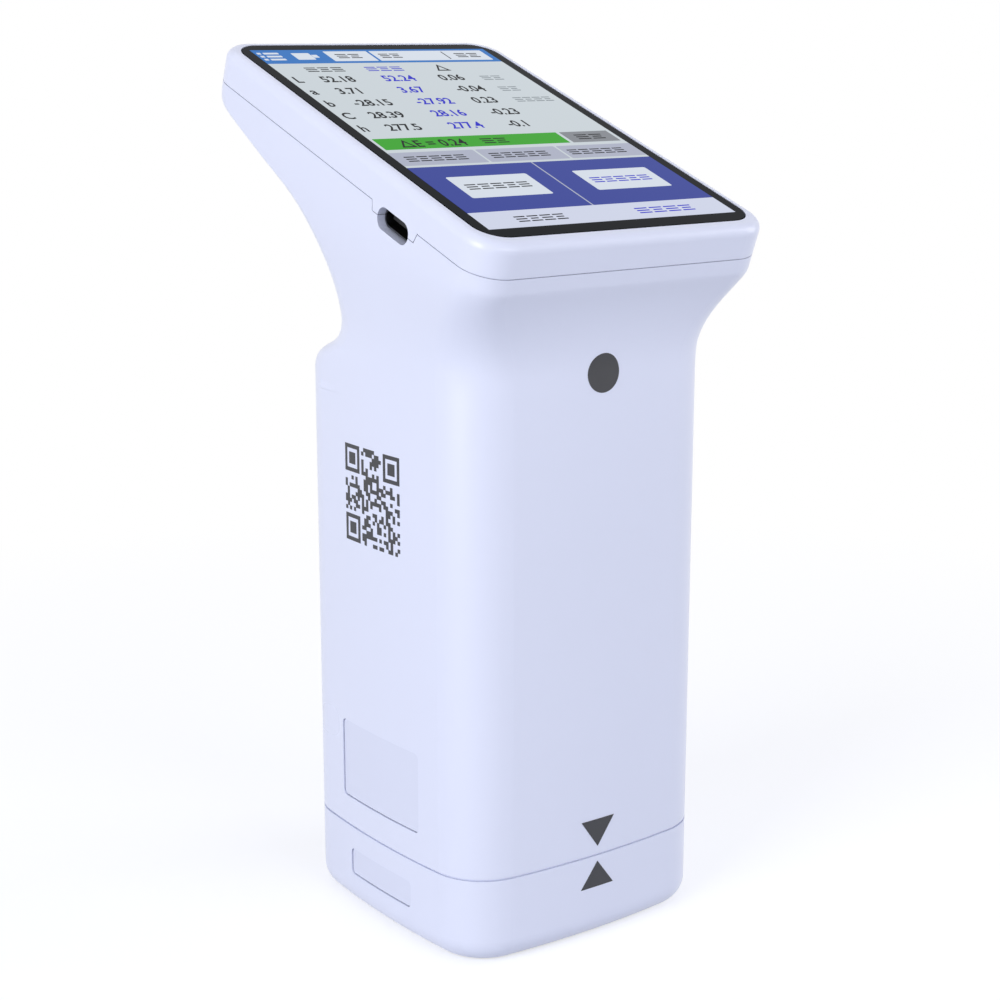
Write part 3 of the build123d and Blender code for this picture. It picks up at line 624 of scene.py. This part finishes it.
def merged(mesh):
    """Joins doubled points and turns all the faces outwards."""
    work = bmesh.new()
    work.from_mesh(mesh)
    bmesh.ops.remove_doubles(work, verts=work.verts, dist=1e-7)
    bmesh.ops.recalc_face_normals(work, faces=work.faces)
    work.to_mesh(mesh)
    work.free()
    return mesh


DISC_RADIUS = 3.42
DISC_HEIGHT = 103.6
DISC_POINTS = 48
DISC_RINGS = 7
angle = np.linspace(0, 2 * np.pi, DISC_POINTS, endpoint=False)
radii = np.linspace(0, DISC_RADIUS, DISC_RINGS)[:, None]
disc = front_print("wireless_mark", radii * np.cos(angle), DISC_HEIGHT + radii * np.sin(angle))
finish_piece("wireless_mark", merged(disc), pad_ink, "instrument")

# Each triangle is drawn from its three corners, with its sides divided into equal steps.
TRIANGLE_HALF_WIDTH = 3.7
TRIANGLE_STEPS = 8
TRIANGLE_RINGS = 4
for name, base_z, tip_z, body in (
    ("upper_triangle", 23.04, 17.85, "instrument"),
    ("lower_triangle", 10.1, 14.98, "base"),
):
    corners = np.array(
        [[-TRIANGLE_HALF_WIDTH, base_z], [TRIANGLE_HALF_WIDTH, base_z], [0, tip_z]]
    )
    part = np.linspace(0, 1, TRIANGLE_STEPS + 1)[:-1]
    edges = corners[:, None] + (np.roll(corners, -1, 0) - corners)[:, None] * part[:, None]
    rim = edges.reshape(-1, 2)
    centre = rim.mean(0)
    shrink = np.linspace(0, 1, TRIANGLE_RINGS)[:, None]
    x = centre[0] + shrink * (rim[:, 0] - centre[0])
    z = centre[1] + shrink * (rim[:, 1] - centre[1])
    finish_piece(name, merged(front_print(name, x, z)), pad_ink, body)

# The block has 25 by 25 cells: three square eyes in its corners and cells in no order between.
# An eye is a ring 7 cells wide round a square of 3, with a bare row and column beyond it.
CODE_CELLS = 25
CODE_FRONT = -8.1
CODE_BACK = 9.1
CODE_BOTTOM = 71.35
CODE_TOP = 88.9
CODE_FILL = 0.48
EYE = 8
draw = np.random.default_rng(7)
cells = draw.random((CODE_CELLS, CODE_CELLS)) < CODE_FILL
eye = np.zeros((EYE, EYE), bool)
eye[:7, :7] = True
eye[1:6, 1:6] = False
eye[2:5, 2:5] = True
cells[:EYE, :EYE] = eye
cells[:EYE, -EYE:] = eye[:, ::-1]
cells[-EYE:, :EYE] = eye[::-1]

# Each dark cell is a box of eight points: four proud of the side's arc, and four sunk in it.
row, column = np.nonzero(cells)
step_y = (CODE_BACK - CODE_FRONT) / CODE_CELLS
step_z = (CODE_TOP - CODE_BOTTOM) / CODE_CELLS
corner_y = np.array([0, 1, 1, 0, 0, 1, 1, 0])
corner_z = np.array([0, 0, 1, 1, 0, 0, 1, 1])
corner_depth = np.repeat([-INK_PROUD, INK_SUNK], 4)
y = CODE_BACK - (column[:, None] + corner_y) * step_y
z = CODE_TOP - (row[:, None] + corner_z) * step_z
x = COLUMN_SIDE + SIDE_RADIUS - np.sqrt(SIDE_RADIUS**2 - y**2) + corner_depth
points = np.stack([x, y, z], -1).reshape(-1, 3) * MM
cube = np.array(
    [[0, 1, 2, 3], [7, 6, 5, 4], [0, 4, 5, 1], [1, 5, 6, 2], [2, 6, 7, 3], [3, 7, 4, 0]]
)
faces = (np.arange(len(row))[:, None, None] * 8 + cube).reshape(-1, 4)
code_mesh = bpy.data.meshes.new("code_block")
code_mesh.from_pydata(points.tolist(), [], faces.tolist())
finish_piece("code_block", code_mesh, pad_ink, "instrument")


# Labels
# Polyester film with a glued back, stuck in its recess on each shell. It is plain and satin, a
# shade greyer than the shells.
label_film = moulded_plastic("polyester_label_film", "#DADFF4", 0.42, grain_mm=0.25)
dress(label_film, "body_label", "base_label")


# USB-C inlet
# A deep-drawn stainless shell round a black insert of glass-filled nylon, set back in a rounded
# slot between the column's shell and the frame of the head.
SCRATCH_DEPTH = 0.003


def metal(name, colour, roughness, grain_mm, stretch):
    """Worked metal: fine scratches drawn out along one axis by a stretched noise."""
    material, tree, output = new_material(name)
    place = add(tree, "ShaderNodeTexCoord").outputs["Object"]
    drawn = add(tree, "ShaderNodeMapping", Vector=place, Scale=stretch)
    lines = add(
        tree,
        "ShaderNodeTexNoise",
        Vector=drawn.outputs[0],
        Scale=1 / (grain_mm * MM),
        Detail=2.0,
    )
    gloss = add(
        tree,
        "ShaderNodeMapRange",
        Value=lines.outputs["Fac"],
        To_Min=roughness - 0.06,
        To_Max=roughness + 0.08,
    )
    bump = add(
        tree,
        "ShaderNodeBump",
        Height=lines.outputs["Fac"],
        Distance=SCRATCH_DEPTH * MM,
        Strength=1.0,
    )
    surface = add(
        tree,
        "ShaderNodeBsdfPrincipled",
        Base_Color=linear(colour),
        Metallic=1.0,
        Roughness=gloss.outputs[0],
        Normal=bump.outputs[0],
    )
    tree.links.new(surface.outputs[0], output.inputs["Surface"])
    return material


drawn_steel = metal("drawn_stainless_steel", "#5F6165", 0.32, 0.3, (0.1, 1.0, 1.0))
dress(drawn_steel, "usb_receptacle")
black_nylon = moulded_plastic("black_glass_filled_nylon", "#17181B", 0.5, grain_mm=0.2)
dress(black_nylon, "usb_insert")


# Measure key
# The round key in the scoop is ABS under a satin coat, a darker blue-grey than the shell. The
# plunger and the switch behind it are black nylon.
key_abs = moulded_plastic("satin_coated_abs", "#8388A0", 0.5, grain_mm=0.4, grain_depth=0.01)
dress(key_abs, "measure_key")
dress(black_nylon, "key_plunger", "key_switch")


# Closing plates, tile holder, tray and beeper
# All are moulded in black ABS with a spark-eroded texture, so that no stray light leaves the
# plates and the tile holder round the aperture.
black_abs = moulded_plastic(
    "black_abs_spark_eroded", "#202124", 0.6, grain_mm=0.35, grain_depth=0.02
)
dress(black_abs, "base_deck", "end_plate", "tile_holder", "battery_tray", "beeper")


# White tile, its cushion and the tape under the glass
# The reference tile is glazed ceramic, dead even in colour, on a ring of dark polyurethane foam.
# The tape that holds the touch glass is cut from a thin sheet of the same foam.
FOAM_DEPTH = 0.1
glaze = polished("white_ceramic_glaze", "#F2F2EE", 0.1, 1.52, coat=0.4)
dress(glaze, "white_tile")


def foam(name, colour, cell_mm):
    """Closed-cell foam: rounded cells from a Voronoi pattern, deep in bump, dull."""
    material, tree, output = new_material(name)
    place = add(tree, "ShaderNodeTexCoord").outputs["Object"]
    cell = add(tree, "ShaderNodeTexVoronoi", Vector=place, Scale=1 / (cell_mm * MM))
    shade = add(
        tree,
        "ShaderNodeMix",
        {"data_type": "RGBA"},
        i0=cell.outputs["Distance"],
        i6=linear(colour),
        i7=scaled(colour, 0.5),
    )
    bump = add(
        tree,
        "ShaderNodeBump",
        Height=cell.outputs["Distance"],
        Distance=FOAM_DEPTH * MM,
        Strength=0.8,
    )
    surface = add(
        tree,
        "ShaderNodeBsdfPrincipled",
        Base_Color=shade.outputs[2],
        Roughness=0.9,
        Normal=bump.outputs[0],
    )
    tree.links.new(surface.outputs[0], output.inputs["Surface"])
    return material


dark_foam = foam("polyurethane_foam", "#2E2F33", 0.5)
dress(dark_foam, "tile_cushion", "glass_tape")


# Sphere, nose, barrel, lens and lamps
# The sphere is moulded white and coated with barium sulphate, chalky and fully matte. The nose
# and the sensor barrel are turned aluminium, anodised black. The lens is ground and polished
# glass, and the lamps are cast in clear resin.
chalk = moulded_plastic("barium_sulphate_coating", "#F1F1ED", 0.95, grain_mm=0.5, grain_depth=0.03)
dress(chalk, "sphere_lower", "sphere_upper")
anodised = metal("black_anodised_aluminium", "#2A2B2F", 0.38, 0.12, (1.0, 1.0, 6.0))
dress(anodised, "measuring_nose", "sensor_barrel")
dress(polished("optical_glass", "#B9CCD4", 0.02, 1.52), "sensor_lens")
dress(polished("clear_lamp_resin", "#EAE8CF", 0.08, 1.5), "lamps")


# Screws, magnets and metal cans
# The screws are steel under bright zinc plate, and the magnets sintered discs under nickel plate.
# The display and the radio module sit in cans stamped from thin steel sheet.
zinc = metal("zinc_plated_steel", "#A6A8AB", 0.3, 0.15, (1.0, 1.0, 4.0))
dress(
    zinc,
    "base_deck_screws",
    "end_plate_screws",
    "sphere_screws",
    "tray_screws",
    "key_screws",
    "board_screws",
)
dress(metal("nickel_plate", "#B9B8B2", 0.18, 0.4, (1.0, 1.0, 1.0)), "base_magnets", "end_magnets")
dress(
    metal("stamped_steel_can", "#ABAEB2", 0.35, 0.25, (0.15, 1.0, 1.0)),
    "display_panel",
    "radio_module",
)


# Circuit boards, chips and battery
# Glass-epoxy boards under green solder mask, chips moulded in black epoxy, and a pouch cell in
# smooth blue shrink film.
TRACK_SIZE = 12.0
TRACK_DEPTH = 0.03


def solder_mask(name, colour):
    """Green board: copper tracks show through the mask as lighter, raised lines."""
    material, tree, output = new_material(name)
    place = add(tree, "ShaderNodeTexCoord").outputs["Object"]
    track = add(
        tree,
        "ShaderNodeTexBrick",
        Vector=place,
        Scale=1 / (TRACK_SIZE * MM),
        Color1=linear(colour),
        Color2=scaled(colour, 0.85),
        Mortar=scaled(colour, 1.7),
        Mortar_Size=0.02,
    )
    bump = add(
        tree,
        "ShaderNodeBump",
        Height=track.outputs["Fac"],
        Distance=TRACK_DEPTH * MM,
        Strength=1.0,
    )
    surface = add(
        tree,
        "ShaderNodeBsdfPrincipled",
        Base_Color=track.outputs["Color"],
        Roughness=0.35,
        Normal=bump.outputs[0],
    )
    tree.links.new(surface.outputs[0], output.inputs["Surface"])
    return material


green_board = solder_mask("glass_epoxy_with_solder_mask", "#1C5A37")
dress(green_board, "main_board", "lamp_boards", "sensor_board", "key_board")
dress(
    moulded_plastic("chip_epoxy", "#1A1B1D", 0.55, grain_mm=0.15),
    "board_components",
    "sensor_chip",
)
dress(moulded_plastic("battery_shrink_film", "#3C4C6A", 0.3, grain_mm=2.0), "battery")
